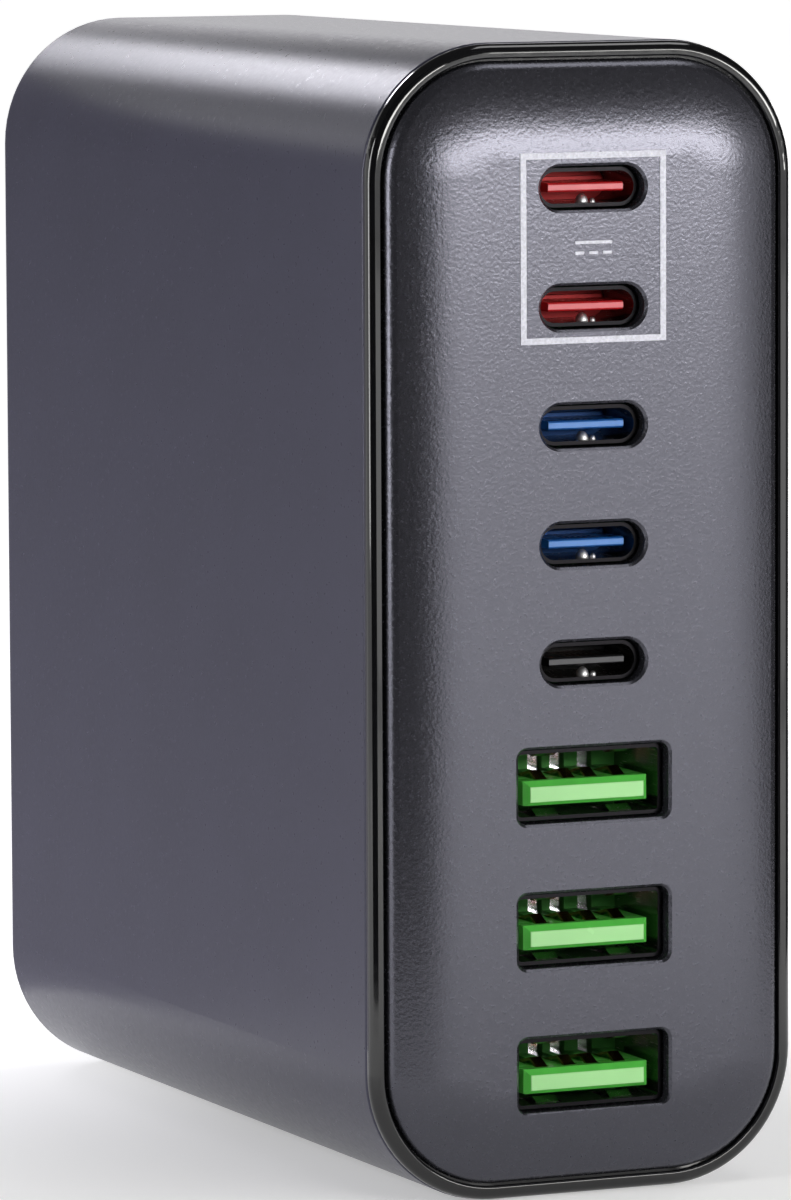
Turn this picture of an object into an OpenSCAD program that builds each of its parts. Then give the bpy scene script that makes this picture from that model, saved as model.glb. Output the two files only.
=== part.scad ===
// Desktop USB charger: a tall rounded case with a crowned front panel, eight sockets and a rear mains inlet.
// X runs left to right, -Y is the front, +Z is up. The origin is the middle of the footprint, on the table.
// Dimensions are in millimetres.

/* [Case] */
// Width of the case
case_w = 38; // [37:0.5:44]
// Height of the case
case_h = 94; // [93:0.5:106]
// Depth of the housing behind the bezel
housing_d = 79.5; // [79:0.5:92]
// Corner radius of the case seen from the front
corner_r = 11; // [9.5:0.5:12]
// Side walls of the housing
wall = 2; // [1.6:0.1:2.4]
// Rear wall of the housing
rear_wall = 2.2; // [1.8:0.1:3]
// Rounding of the rear edge
rear_edge_r = 1.2; // [0.6:0.1:1.6]
// Rounding of the front edge of the housing
seam_edge_r = 0.3; // [0.2:0.05:0.5]

/* [Bezel] */
// Width of the bezel seen from the front
bezel_w = 1.2; // [1:0.05:1.6]
// How far the bezel stands forward of the housing
bezel_rise = 1; // [0.8:0.1:1.4]
// Rounding of the outer edge of the bezel
bezel_edge_r = 0.75; // [0.5:0.05:0.8]
// Rounding of the inner edge of the bezel
bezel_lip_r = 0.25; // [0.15:0.05:0.3]
// How far the bezel sits inside the outline of the housing
bezel_inset = 0.08; // [0.05:0.01:0.15]
// Depth of the bezel spigot inside the housing
spigot_depth = 4; // [3:0.5:6]
// Wall of the bezel spigot
spigot_wall = 1.2; // [1:0.1:1.5]

/* [Front panel] */
// How far the flat of the panel stands forward of the housing
face_rise = 3; // [2.9:0.1:3.6]
// Width of the crowned border of the panel
crown_w = 7.75; // [7:0.25:7.75]
// How far the crown falls from the flat to the edge
crown_drop = 1.75; // [1.5:0.05:1.9]
// Rounding of the outer edge of the panel
panel_edge_r = 1.4; // [1.2:0.05:1.5]
// Thickness of the flat of the panel
panel_t = 2; // [1.6:0.1:2.2]
// Open groove between the bezel and the panel
groove = 0.16; // [0.1:0.02:0.24]
// Depth of the panel skirt inside the spigot
skirt_depth = 3; // [2:0.5:3.5]
// Wall of the panel skirt
skirt_wall = 1.2; // [1:0.1:1.5]
// Diameter of the posts that back the port board
post_d = 3; // [2.5:0.25:3.5]
// Line width of the printed frame round the two upper sockets
frame_line = 0.5; // [0.3:0.05:0.6]
// Room between a socket and the sides of the printed frame
frame_side = 1.3; // [1:0.05:1.6]
// Room between a socket and the ends of the printed frame
frame_end = 0.6; // [0.5:0.05:0.8]
// Thickness of the printed frame
frame_ink = 0.06; // [0.05:0.01:0.1]

/* [Sockets] */
// Drop from the top of the case to the middle of the first socket, at the nominal height
first_port_drop = 11.7; // [11.5:0.1:12.5]
// Pitch of the five small sockets, at the nominal height
usb_c_pitch = 9.6; // [9.4:0.1:9.8]
// Step from the last small socket to the first wide one, at the nominal height
usb_step = 9.9; // [9.6:0.1:10.2]
// Pitch of the three wide sockets, at the nominal height
usb_a_pitch = 11.8; // [11.4:0.1:12]
// How far the shells sit behind the face of the panel
shell_recess = 1.2; // [0.8:0.05:1.4]
// Length of the shells from their mouth to the port board
shell_len = 11.5; // [11:0.25:12.5]
// Gap round each shell in the panel
port_gap = 0.2; // [0.15:0.05:0.3]
// Bevel of the cut-outs in the panel
port_bevel = 0.22; // [0.15:0.01:0.3]
// Sheet thickness of the shells
shell_t = 0.3; // [0.25:0.05:0.35]

/* [Circuit boards] */
// Thickness of the circuit boards
board_t = 1.6; // [1.2:0.1:1.8]
// Gap between the main board and the rear wall
board_end_gap = 2.2; // [1.6:0.1:3]
// Gap between the main board and the top and bottom of the cavity
board_edge_gap = 4; // [3.5:0.1:4.5]
// Distance from the left wall of the cavity to the main board
board_stand = 3.8; // [3.6:0.1:4.2]
// Bite of the guide rails on the edges of the main board
rail_bite = 1.5; // [1.2:0.1:2]
// Thickness of the guide rails
rail_t = 1.2; // [1:0.1:1.6]
// Running gap round boards and other fitted pieces
fit_gap = 0.1; // [0.08:0.01:0.15]
// Thickness of the heat spreaders
spreader_t = 0.8; // [0.6:0.1:1]
// Thickness of the insulation sheet
sheet_t = 0.4; // [0.3:0.05:0.5]

/* [Mains inlet] */
// Height of the inlet above the table
inlet_z = 20; // [19:0.5:21]
// Width of the inlet nose
inlet_w = 18; // [17.6:0.1:18.4]
// Height of the inlet nose
inlet_h = 10.8; // [10.4:0.1:11.2]
// Depth of the inlet cavity
inlet_depth = 13; // [12:0.25:13.5]
// Spacing of the inlet pins
pin_pitch = 8.6; // [8.4:0.1:8.8]
// Diameter of the inlet pins
pin_d = 2.4; // [2.2:0.05:2.5]
// Length of the inlet pins inside the cavity
pin_len = 9.8; // [9:0.1:10.5]

/* [Hidden] */
$fn = 64;
eps = 0.01;

// Planes along Y: the face of the panel, the front of the housing and the rear of the housing
total_d = housing_d + face_rise + frame_ink;
face_y = -total_d / 2 + frame_ink;
front_y = face_y + face_rise;
rear_y = front_y + housing_d;
mid_z = case_h / 2;

// Cavity of the housing
cavity_w = case_w - 2 * wall;
cavity_h = case_h - 2 * wall;
cavity_r = corner_r - wall;
inner_rear_y = rear_y - rear_wall;

// Outlines of the bezel and the panel
bezel_ow = case_w - 2 * bezel_inset;
bezel_oh = case_h - 2 * bezel_inset;
bezel_or = corner_r - bezel_inset;
panel_inset = bezel_inset + bezel_w + groove;
panel_w = case_w - 2 * panel_inset;
panel_h = case_h - 2 * panel_inset;
panel_r = corner_r - panel_inset;
ledge = 0.2;
spigot_inset = wall + fit_gap;
skirt_inset = spigot_inset + spigot_wall + fit_gap;
crown_r = (crown_w * crown_w + crown_drop * crown_drop) / (2 * crown_drop);

// Sizes of the two kinds of socket, from the connector standards
usb_c_w = 8.94;
usb_c_h = 3.16;
usb_c_tongue = [6.69, 0.7];
usb_c_tip = 0.25;
usb_c_step = 4.6;
usb_c_floor = 5.5;
usb_a_w = 13.14;
usb_a_h = 5.72;
usb_a_corner = 0.6;
usb_a_tongue = [11.1, 2];
usb_a_tongue_drop = 0.71;
usb_a_tip = 0.15;
usb_a_floor = 8.1;
usb_a_contact_x = [-3.5, -1, 1, 3.5];
usb_a_strip = [1, 0.25];
usb_a_seat = usb_a_tongue[1] / 2 - usb_a_tongue_drop - 0.38;
usb_a_post = 2.1;
usb_c_contact_x = [-2.75, -1.25, -0.75, -0.25, 0.25, 0.75, 1.25, 2.75];

// Heights of the sockets, whose spacing follows the height of the case
spacing = case_h / 94;
usb_c_colours = ["firebrick", "firebrick", "royalblue", "royalblue", "dimgray"];
usb_c_count = len(usb_c_colours);
usb_a_count = 3;
function usb_c_z(i) = case_h - spacing * (first_port_drop + (i - 1) * usb_c_pitch);
function usb_a_z(i) = usb_c_z(usb_c_count) - spacing * (usb_step + (i - 1) * usb_a_pitch);
mouth = face_rise - shell_recess;

// Legs of the shells, which pass through the port board
leg_w = 1.2;
leg_len = board_t + 0.6;
usb_c_leg_x = usb_c_w / 2 - shell_t / 2;
usb_a_leg_x = usb_a_w / 2 - shell_t / 2;

// Port board
port_board_w = cavity_w - 4;
port_board_h = cavity_h - 6;
port_board_r = cavity_r - 3;
port_board_y = face_y + shell_recess + shell_len;
tab_w = 6;
tab_zs = [-0.4, 0, 0.4];

// Main board, on the left of the cavity, with its parts towards +X
board_x = -cavity_w / 2 + board_stand;
board_face_x = board_x + board_t;
board_y = port_board_y + board_t;
board_len = inner_rear_y - board_end_gap - board_y;
board_h = cavity_h - 2 * board_edge_gap;
board_z = mid_z - board_h / 2;

// Mains inlet
flange_t = 1.6;
flange_lip = 1.6;
inlet_floor_t = 2;
inlet_body_d = inlet_depth + inlet_floor_t;
cavity_lobe_r = 4.1;
cavity_lobe_x = 3.6;
cavity_waist = 6.6;
tail_t = 1;

// Places children on a plane in front of the housing: local x is right, y is up and z is forward
module at_front(v, z) translate([0, front_y - v, z]) rotate([90, 0, 0]) children();

// Places children on the parts side of the main board: local x is +Y, y is +Z and z is +X
module on_board(y, z) translate([board_face_x, y, z]) rotate([90, 0, 90]) children();

// Rounded rectangle with true arcs
module round_rect(w, h, r) {
    square([w - 2 * r, h], center = true);
    if (h - 2 * r > eps) square([w, h - 2 * r], center = true);
    for (x = [-1, 1], y = [-1, 1]) translate([x * (w / 2 - r), y * (h / 2 - r)]) circle(r);
}

module obround(w, h) round_rect(w, h, h / 2);

// Rounded rectangular ring
module round_ring(w, h, r, t) difference() {
    round_rect(w, h, r);
    round_rect(w - 2 * t, h - 2 * t, r - t);
}

// Band of the cross-section between the corners of a rounded rectangle. The child is the edge profile,
// with x from the axis of a corner and y forward.
module slab(w, h, r, lo, hi) translate([0, h / 2 - r, 0]) rotate([90, 0, 0]) linear_extrude(h - 2 * r) {
    translate([-w / 2 + r, lo]) square([w - 2 * r, hi - lo]);
    for (side = [0, 1]) mirror([side, 0]) translate([w / 2 - r, 0]) children();
}

// Solid rounded rectangle whose edge follows the child profile all the way round
module profiled_block(w, h, r, lo, hi) {
    slab(w, h, r, lo, hi) children();
    rotate([0, 0, 90]) slab(h, w, r, lo, hi) children();
    for (k = [0:3]) {
        x = (k == 0 || k == 3) ? 1 : -1;
        y = k < 2 ? 1 : -1;
        translate([x * (w / 2 - r), y * (h / 2 - r), 0])
            rotate([0, 0, 90 * k]) rotate_extrude(angle = 90) children();
    }
}

// Sweeps the child profile round a rounded rectangle, with x outwards from the outline and y forward
module profiled_ring(w, h, r) for (k = [0:3]) {
    long = k % 2 == 0 ? h : w;
    wide = k % 2 == 0 ? w : h;
    rotate([0, 0, 90 * k]) {
        if (long - 2 * r > eps)
            translate([wide / 2, long / 2 - r, 0]) rotate([90, 0, 0]) linear_extrude(long - 2 * r) children();
        translate([wide / 2 - r, long / 2 - r, 0]) rotate_extrude(angle = 90) translate([r, 0]) children();
    }
}

// Edge profile with both ends rounded
module rounded_edge(r, d, back_r, end_r) {
    square([r - back_r, d / 2]);
    translate([0, d / 2]) square([r - end_r, d / 2]);
    translate([0, back_r]) square([r, d - back_r - end_r]);
    translate([r - back_r, back_r]) circle(back_r);
    translate([r - end_r, d - end_r]) circle(end_r);
}

// Figure-of-eight outline of the inlet cavity
module inlet_outline() {
    for (x = [-1, 1]) translate([x * cavity_lobe_x, 0]) circle(cavity_lobe_r);
    square([2 * cavity_lobe_x, cavity_waist], center = true);
}

// Housing: a deep rounded sleeve with a closed rear wall, the inlet opening and two pairs of guide rails
module housing() color("dimgray") {
    rail_y0 = board_y + 2;
    rail_len = board_len - 4;
    difference() {
        at_front(-housing_d, mid_z) profiled_block(case_w, case_h, corner_r, 0, housing_d)
            rounded_edge(corner_r, housing_d, rear_edge_r, seam_edge_r);
        at_front(-(housing_d - rear_wall), mid_z) linear_extrude(housing_d)
            round_rect(cavity_w, cavity_h, cavity_r);
        at_front(-housing_d - 1, inlet_z) linear_extrude(rear_wall + 2)
            obround(inlet_w + 2 * fit_gap, inlet_h + 2 * fit_gap);
    }
    intersection() {
        for (side = [-1, 1], x = [board_x - fit_gap - rail_t, board_face_x + fit_gap])
            translate([x, rail_y0, mid_z + side * (board_h / 2 - rail_bite + 5) - 5])
                cube([rail_t, rail_len, 10]);
        at_front(-housing_d, mid_z) linear_extrude(housing_d)
            round_rect(cavity_w + wall, cavity_h + wall, cavity_r + wall / 2);
    }
}

// Quarter of a disc
module quarter(r) intersection() {
    circle(r);
    square(r);
}

// Bezel: a polished ring with rounded edges, a ledge for the panel and a spigot inside the housing
module front_bezel() color("black") {
    crest = bezel_rise - bezel_edge_r;
    lip = bezel_rise - bezel_lip_r;
    at_front(0, mid_z) profiled_ring(bezel_ow, bezel_oh, bezel_or) {
        translate([-bezel_w, 0]) square([bezel_w, crest]);
        translate([-bezel_w, 0]) square([bezel_w - bezel_edge_r, lip]);
        translate([-bezel_w + bezel_lip_r, 0]) square([bezel_w - bezel_edge_r - bezel_lip_r, bezel_rise]);
        translate([-bezel_edge_r, crest]) quarter(bezel_edge_r);
        translate([-bezel_w + bezel_lip_r, lip]) mirror([1, 0]) quarter(bezel_lip_r);
        translate([-spigot_inset - spigot_wall + bezel_inset, 0])
            square([spigot_inset + spigot_wall - bezel_inset - eps, ledge]);
        translate([-spigot_inset - spigot_wall + bezel_inset, -spigot_depth])
            square([spigot_wall, spigot_depth + ledge]);
    }
}

// Edge of the front panel: a large arc that meets the flat, and a small one that turns into the side
module crown_edge() {
    arc_u = panel_r - crown_w;
    arc_v = face_rise - crown_r;
    turn_v = arc_v + sqrt(pow(crown_r - panel_edge_r, 2) - pow(crown_w - panel_edge_r, 2));
    reach = [panel_r - panel_edge_r - arc_u, turn_v - arc_v];
    meet = [arc_u, arc_v] + reach * crown_r / norm(reach);
    polygon([[0, ledge], [panel_r, ledge], [panel_r, turn_v], [panel_r - panel_edge_r, turn_v], meet,
             [0, meet[1]]]);
    translate([panel_r - panel_edge_r, turn_v]) quarter(panel_edge_r);
    translate([0, ledge]) square([arc_u, face_rise - ledge]);
    intersection() {
        translate([arc_u, arc_v]) circle(crown_r);
        translate([0, ledge]) square([meet[0], face_rise - ledge]);
    }
}

// Cutter for a socket, with a bevel at the face
module port_cut(w, h, r) {
    linear_extrude(2 * face_rise) round_rect(w, h, r);
    translate([0, 0, face_rise]) profiled_ring(w, h, r)
        polygon([[-port_bevel, -port_bevel], [0, -port_bevel], [port_bevel, 0], [port_bevel, port_bevel],
                 [-port_bevel, port_bevel]]);
}

// Front panel: a crowned shell with eight cut-outs, a skirt inside the bezel and four posts
module front_panel() color("dimgray") {
    inner_w = case_w - 2 * (skirt_inset + skirt_wall);
    inner_h = case_h - 2 * (skirt_inset + skirt_wall);
    inner_r = corner_r - skirt_inset - skirt_wall;
    floor_v = face_rise - panel_t;
    post_len = floor_v - (mouth - shell_len);
    difference() {
        union() {
            at_front(0, mid_z) profiled_block(panel_w, panel_h, panel_r, ledge, face_rise) crown_edge();
            at_front(-skirt_depth, mid_z) linear_extrude(skirt_depth + ledge + eps)
                round_rect(case_w - 2 * skirt_inset, case_h - 2 * skirt_inset, corner_r - skirt_inset);
        }
        at_front(-skirt_depth - 1, mid_z) linear_extrude(skirt_depth + 1 + floor_v)
            round_rect(inner_w, inner_h, inner_r);
        for (i = [1:usb_c_count]) at_front(0, usb_c_z(i))
            port_cut(usb_c_w + 2 * port_gap, usb_c_h + 2 * port_gap, usb_c_h / 2 + port_gap);
        for (i = [1:usb_a_count]) at_front(0, usb_a_z(i))
            port_cut(usb_a_w + 2 * port_gap, usb_a_h + 2 * port_gap, usb_a_corner + port_gap);
    }
    for (x = [-1, 1], z = [usb_c_z(2), usb_a_z(2)])
        translate([x * (port_board_w / 2 - post_d), 0, 0])
            at_front(mouth - shell_len, z) cylinder(h = post_len + eps, d = post_d);
}

// Printed line round the two upper sockets
module port_frame_print() color("lavender") {
    w = usb_c_w + 2 * (port_gap + frame_side + frame_line);
    h = usb_c_z(1) - usb_c_z(2) + usb_c_h + 2 * (port_gap + frame_end + frame_line);
    at_front(face_rise, (usb_c_z(1) + usb_c_z(2)) / 2) linear_extrude(frame_ink) difference() {
        square([w, h], center = true);
        square([w - 2 * frame_line, h - 2 * frame_line], center = true);
    }
}

// Dimple pressed inwards from the lower wall of a small shell
module usb_c_dimple(x, r) {
    depth = 1.1;
    intersection() {
        translate([x, -usb_c_h / 2 + shell_t, shell_len - depth]) sphere(r);
        translate([x - r, -usb_c_h / 2 + shell_t / 2, 0]) cube([2 * r, usb_c_h / 2, shell_len]);
    }
}

// Small socket: the steel shell, an oval tube with two dimples and two legs
module usb_c_shell(i) color("silver") at_front(mouth - shell_len, usb_c_z(i)) {
    linear_extrude(shell_len) difference() {
        obround(usb_c_w, usb_c_h);
        obround(usb_c_w - 2 * shell_t, usb_c_h - 2 * shell_t);
    }
    usb_c_dimple(0, 0.4);
    usb_c_dimple(0.9, 0.22);
    for (x = [-1, 1]) translate([x * usb_c_leg_x - shell_t / 2, -leg_w / 2, -leg_len])
        cube([shell_t, leg_w, leg_len + 1]);
}

// Small socket: the coloured insulator, with its tongue, thicker root and base
module usb_c_insulator(i) color(usb_c_colours[i - 1]) at_front(mouth - shell_len, usb_c_z(i)) {
    chamfer = 0.15;
    bore_w = usb_c_w - 2 * (shell_t + 0.02);
    bore_h = usb_c_h - 2 * (shell_t + 0.02);
    half = usb_c_tongue[1] / 2;
    tip = shell_len - usb_c_tip;
    difference() {
        union() {
            translate([usb_c_tongue[0] / 2, 0, 0]) rotate([0, -90, 0]) linear_extrude(usb_c_tongue[0])
                polygon([[1, -half], [tip - chamfer, -half], [tip, -half + chamfer],
                         [tip, half - chamfer], [tip - chamfer, half], [1, half]]);
            linear_extrude(shell_len - usb_c_step)
                square([usb_c_tongue[0] + 0.3, 2 * half + 0.6], center = true);
            linear_extrude(shell_len - usb_c_floor) obround(bore_w, bore_h);
        }
        usb_c_strips(0.02);
    }
}

// Contact strips of a small socket, each let into the tongue, with room for a fit
module usb_c_strips(room) {
    strip_w = 0.26;
    strip_t = 0.14;
    tip = shell_len - usb_c_tip - 0.7;
    middle = (usb_c_tongue[1] - strip_t) / 2;
    for (x = usb_c_contact_x, side = [-1, 1])
        translate([x - strip_w / 2 - room, side * middle - strip_t / 2 - room, -eps])
            cube([strip_w + 2 * room, strip_t + 2 * room, tip + eps + room]);
}

module usb_c_contacts(i) color("gold") at_front(mouth - shell_len, usb_c_z(i)) intersection() {
    usb_c_strips(0);
    translate([-usb_c_w / 2, -usb_c_h / 2, 0]) cube([usb_c_w, usb_c_h, shell_len]);
}

// Wide socket: spring finger of the shell, bent inwards, drawn on the lower wall
module usb_a_finger() {
    wide = 2;
    root = 3.6;
    lip = 0.8;
    bend = 0.42;
    base = -usb_a_h / 2;
    translate([-wide / 2, 0, shell_len]) rotate([90, 0, 90]) linear_extrude(wide)
        polygon([[base, -root - 0.6], [base + shell_t, -root - 0.6], [base + shell_t, -root],
                 [base + shell_t + bend, -lip - 0.9], [base + shell_t, -lip], [base + shell_t / 2, -lip],
                 [base + bend, -lip - 0.9], [base, -root]]);
}

// Wide socket: the steel shell, a folded tube with four spring fingers in their windows
module usb_a_shell(i) color("silver") at_front(mouth - shell_len, usb_a_z(i)) {
    finger_x = 3.3;
    window_w = 2.6;
    window = [0.6, 3.8];
    difference() {
        linear_extrude(shell_len) round_ring(usb_a_w, usb_a_h, usb_a_corner, shell_t);
        for (x = [-1, 1]) translate([x * finger_x - window_w / 2, -usb_a_h, shell_len - window[1]])
            cube([window_w, 2 * usb_a_h, window[1] - window[0]]);
    }
    for (x = [-1, 1], up = [0, 1]) mirror([0, up, 0]) translate([x * finger_x, 0, 0]) usb_a_finger();
    for (x = [-1, 1], y = [-1, 1])
        translate([x * usb_a_leg_x - shell_t / 2, y * 1.4 - leg_w / 2, -leg_len])
            cube([shell_t, leg_w, leg_len + 1]);
}

// Wide socket: the green insulator, a bevelled tongue with four contact slots on a solid base
module usb_a_insulator(i) color("limegreen") at_front(mouth - shell_len, usb_a_z(i)) {
    bevel = 0.5;
    under = 0.32;
    wrap = 2 * (shell_t + 0.02);
    tip = shell_len - usb_a_tip;
    half_w = usb_a_tongue[0] / 2;
    top = -usb_a_tongue_drop + usb_a_tongue[1] / 2;
    bottom = top - usb_a_tongue[1];
    difference() {
        union() {
            intersection() {
                translate([half_w, 0, 0]) rotate([0, -90, 0]) linear_extrude(usb_a_tongue[0])
                    polygon([[0, bottom], [tip - under, bottom], [tip, bottom + under], [tip, top - bevel],
                             [tip - bevel, top], [0, top]]);
                translate([0, top, 0]) rotate([90, 0, 0]) linear_extrude(usb_a_tongue[1])
                    polygon([[-half_w, 0], [-half_w, tip - bevel], [-half_w + bevel, tip],
                             [half_w - bevel, tip], [half_w, tip - bevel], [half_w, 0]]);
            }
            linear_extrude(shell_len - usb_a_floor)
                round_rect(usb_a_w - wrap, usb_a_h - wrap, usb_a_corner - shell_t);
        }
        usb_a_slots();
    }
}

// Slots for the contacts of a wide socket, open along the top of the tongue and high in the base
module usb_a_slots() {
    slot_w = usb_a_strip[0] + 0.3;
    for (x = usb_a_contact_x) translate([x - slot_w / 2, usb_a_seat - 0.02, -eps])
        cube([slot_w, usb_a_post + 0.2, shell_len - usb_a_tip - 1.1]);
}

// Contacts of a wide socket: four springs that rise out of their slots, each with a post against the base
// and a tail through the port board
module usb_a_contacts(i) color("goldenrod") at_front(mouth - shell_len, usb_a_z(i)) {
    tail = -board_t - 0.5;
    bend = shell_len - usb_a_tip - 5.7;
    crest = bend + 3;
    tip = crest + 1.4;
    rise = 0.72;
    post = shell_len - usb_a_floor - 0.8;
    t = usb_a_strip[1];
    low = usb_a_seat;
    for (x = usb_a_contact_x)
        translate([x + usb_a_strip[0] / 2, 0, 0]) rotate([0, -90, 0]) linear_extrude(usb_a_strip[0]) {
            polygon([[tail, low], [bend, low], [crest, low + rise], [tip, low + 0.1], [tip, low + 0.1 + t],
                     [crest, low + rise + t], [bend, low + t], [tail, low + t]]);
            translate([post, low]) square([t, usb_a_post]);
        }
}

// Port board: carries all eight sockets and takes the tabs of the main board
module port_board() color("darkgreen") {
    slot = fit_gap;
    difference() {
        at_front(mouth - shell_len - board_t, mid_z) linear_extrude(board_t)
            round_rect(port_board_w, port_board_h, port_board_r);
        at_front(mouth - shell_len - board_t - 1, 0) linear_extrude(board_t + 2) {
            for (i = [1:usb_c_count], x = [-1, 1]) translate([x * usb_c_leg_x, usb_c_z(i)])
                square([shell_t + 2 * slot, leg_w + 2 * slot], center = true);
            for (i = [1:usb_a_count], x = [-1, 1], y = [-1, 1])
                translate([x * usb_a_leg_x, usb_a_z(i) + y * 1.4])
                    square([shell_t + 2 * slot, leg_w + 2 * slot], center = true);
            for (i = [1:usb_a_count], x = usb_a_contact_x)
                translate([x, usb_a_z(i) + usb_a_seat + usb_a_strip[1] / 2])
                    square([usb_a_strip[0] + 2 * slot, usb_a_strip[1] + 2 * slot], center = true);
            for (share = tab_zs) translate([board_x - slot, mid_z + share * board_h - tab_w / 2 - slot])
                square([board_t + 2 * slot, tab_w + 2 * slot]);
        }
    }
}

// Main board, with three tabs through the port board
module main_board() color("darkgreen") {
    translate([board_x, board_y, board_z]) cube([board_t, board_len, board_h]);
    for (share = tab_zs)
        translate([board_x, board_y - board_t, mid_z + share * board_h - tab_w / 2])
            cube([board_t, board_t + eps, tab_w]);
}

// Mains inlet: the moulding, with its nose through the rear wall and a flange behind it
module inlet_body() color("black") at_front(-housing_d, inlet_z) difference() {
    union() {
        linear_extrude(inlet_body_d) obround(inlet_w, inlet_h);
        translate([0, 0, rear_wall]) linear_extrude(flange_t)
            obround(inlet_w + 2 * flange_lip, inlet_h + 2 * flange_lip);
    }
    translate([0, 0, -1]) linear_extrude(inlet_depth + 1) inlet_outline();
    for (x = [-1, 1]) translate([x * pin_pitch / 2, 0, 0]) cylinder(h = inlet_body_d + 1, d = pin_d);
}

// Mains pins, round at the tip, each with a tail to the main board
module inlet_pins() color("silver") for (side = [-1, 1]) {
    length = pin_len + inlet_floor_t + (side < 0 ? 1.5 : 4);
    tail_x = side * pin_pitch / 2 - board_face_x;
    at_front(-housing_d + inlet_depth - pin_len, inlet_z) translate([side * pin_pitch / 2, 0, 0]) {
        cylinder(h = length, d = pin_d);
        translate([-tail_x, -tail_t / 2, length - tail_t]) cube([tail_x, tail_t, tail_t]);
        sphere(d = pin_d);
    }
}

// Places of the parts along the main board, worked out from the rear wall and the inlet towards the front,
// and how far their sizes are stretched along the depth and the height of the board
rear_zone = board_y + board_len - 2;
along = board_len / 63.8;
upright = board_h / 82;
parts_room = cavity_w / 2 - spreader_t - board_face_x;
inlet_front = rear_y - inlet_body_d;
part_gap = 0.5;
fuse_d = 7;
fuse_y = inlet_front - 2 * part_gap - fuse_d / 2;
choke_r = 9 * upright;
choke_t = 8;
choke_y = fuse_y - fuse_d / 2 - part_gap - choke_r;
x_cap = [17.5 * along, 8.5 * upright, 15];
x_cap_z = inlet_z + choke_r + part_gap;
bridge = [22 * along, 3.6, 18.5];
bridge_z = x_cap_z + x_cap[1] + 3 * part_gap;
bulk_d = 18 * upright;
bulk_len = 29 * along;
bulk_gap = 0.2;
lead_out = 1.8;
upper_z = board_z + board_h - bulk_d / 2 - 3;
lower_z = upper_z - bulk_d - 2;
core_lift = 3.2;
core = [19 * along, 27 * upright, parts_room - core_lift - 2.6];
leg_r = 6;
window_r = 10.6;
yoke = 4;
pin_row = 2.8;
transformer_y = rear_zone - bulk_len - lead_out - part_gap - core[0] / 2 - pin_row;
transformer_z = upper_z + bulk_d / 2 - 2 - core[1] / 2;
pfc_core = [14 * along, 20 * upright, 18];
pfc_leg_r = 4;
pfc_window_r = 7.6;
pfc_yoke = 3;
pfc_z = transformer_z - core[1] / 2 - 2 - pfc_core[1] / 2;
chip_t = 1;
rectifier = [20, 1.2, 24 * upright];
rectifier_y = transformer_y - core[0] / 2 - pin_row - part_gap - chip_t - rectifier[1];
output_d = 8 * along;
output_y = transformer_y - pfc_core[0] / 2 - 2 * part_gap - output_d / 2;
inductor = [7, 4.6, 7.5];
switch_w = 8;
switch_step = 11;
switch_y = transformer_y - 14;

// Fuse: a cylindrical body raised on two leads, in front of the inlet
module fuse() color("sienna") on_board(fuse_y, board_z + 6) {
    translate([0, 0, 1]) cylinder(h = 7.6, d = fuse_d);
    for (x = [-1, 1]) translate([2.5 * x, 0, 0]) cylinder(h = 1.1, d = 0.8);
}

// Class X capacitor, a boxed film part above the inlet
module x_capacitor() color("gold") on_board(rear_zone - x_cap[0] - part_gap, x_cap_z) cube(x_cap);

// Common mode choke: a ferrite ring on its base, between the fuse and the transformer
module choke_core() color("darkslategray") on_board(choke_y, inlet_z) {
    base_t = 1.2;
    lift = 3.4;
    linear_extrude(base_t) square([2 * choke_r, 2 * choke_r], center = true);
    translate([0, 0, lift]) linear_extrude(choke_t) difference() {
        circle(choke_r - 2.4);
        circle(choke_r - 5.4);
    }
    for (y = [-1, 1]) translate([-1, y * 5 - 1, base_t - eps]) cube([2, 2, lift - base_t + 2 * eps]);
}

// The two windings, each a sleeve of wire round one half of the ring with its last turns standing proud
module choke_windings() color("peru") on_board(choke_y, inlet_z) translate([0, 0, 3.4 + choke_t / 2]) {
    sleeve = 0.7;
    turn = 1.1;
    wire = 0.7;
    for (half = [0, 180]) rotate([0, 0, half]) {
        rotate([0, 0, -60]) rotate_extrude(angle = 120) translate([choke_r - 3.9, 0])
            winding_ring(sleeve);
        for (angle = [-48:24:48]) rotate([90, 0, angle]) translate([choke_r - 3.9, 0, -wire / 2])
            linear_extrude(wire) winding_ring(turn);
    }
}

// Section of a winding round the ring of the choke
module winding_ring(build) difference() {
    square([3 + 2 * (fit_gap + build), choke_t + 2 * (fit_gap + build)], center = true);
    square([3 + 2 * fit_gap, choke_t + 2 * fit_gap], center = true);
}

// Bridge rectifier, a flat package standing on its four leads
module bridge_rectifier() color("black") on_board(rear_zone - bridge[0], bridge_z) {
    lift = 2;
    difference() {
        translate([0, 0, lift]) cube(bridge);
        translate([bridge[0] / 2, -1, lift + bridge[2] - 4.5]) rotate([-90, 0, 0])
            cylinder(h = bridge[1] + 2, d = 3.4);
    }
    for (k = [0:3]) translate([2.4 + k * 5.2, bridge[1] / 2 - 0.5, 0]) cube([1.6, 1, lift + 0.1]);
}

// Bulk capacitor lying on the board, with a crimped neck and two bent leads
module bulk_capacitor(z) color("midnightblue") on_board(rear_zone - bulk_len, z)
    translate([0, 0, bulk_d / 2 + bulk_gap]) rotate([0, 90, 0]) {
        difference() {
            cylinder(h = bulk_len, d = bulk_d);
            translate([0, 0, 2.2]) rotate_extrude() translate([bulk_d / 2 + 0.3, 0]) circle(0.9);
            translate([0, 0, bulk_len - 0.4]) cylinder(h = 1, d = bulk_d - 3);
        }
        for (y = [-1, 1]) translate([-0.4, y * 3.75 - 0.4, -lead_out]) {
            cube([0.8, 0.8, lead_out + 0.1]);
            cube([bulk_d / 2 + bulk_gap + 0.4, 0.8, 0.8]);
        }
    }

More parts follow.
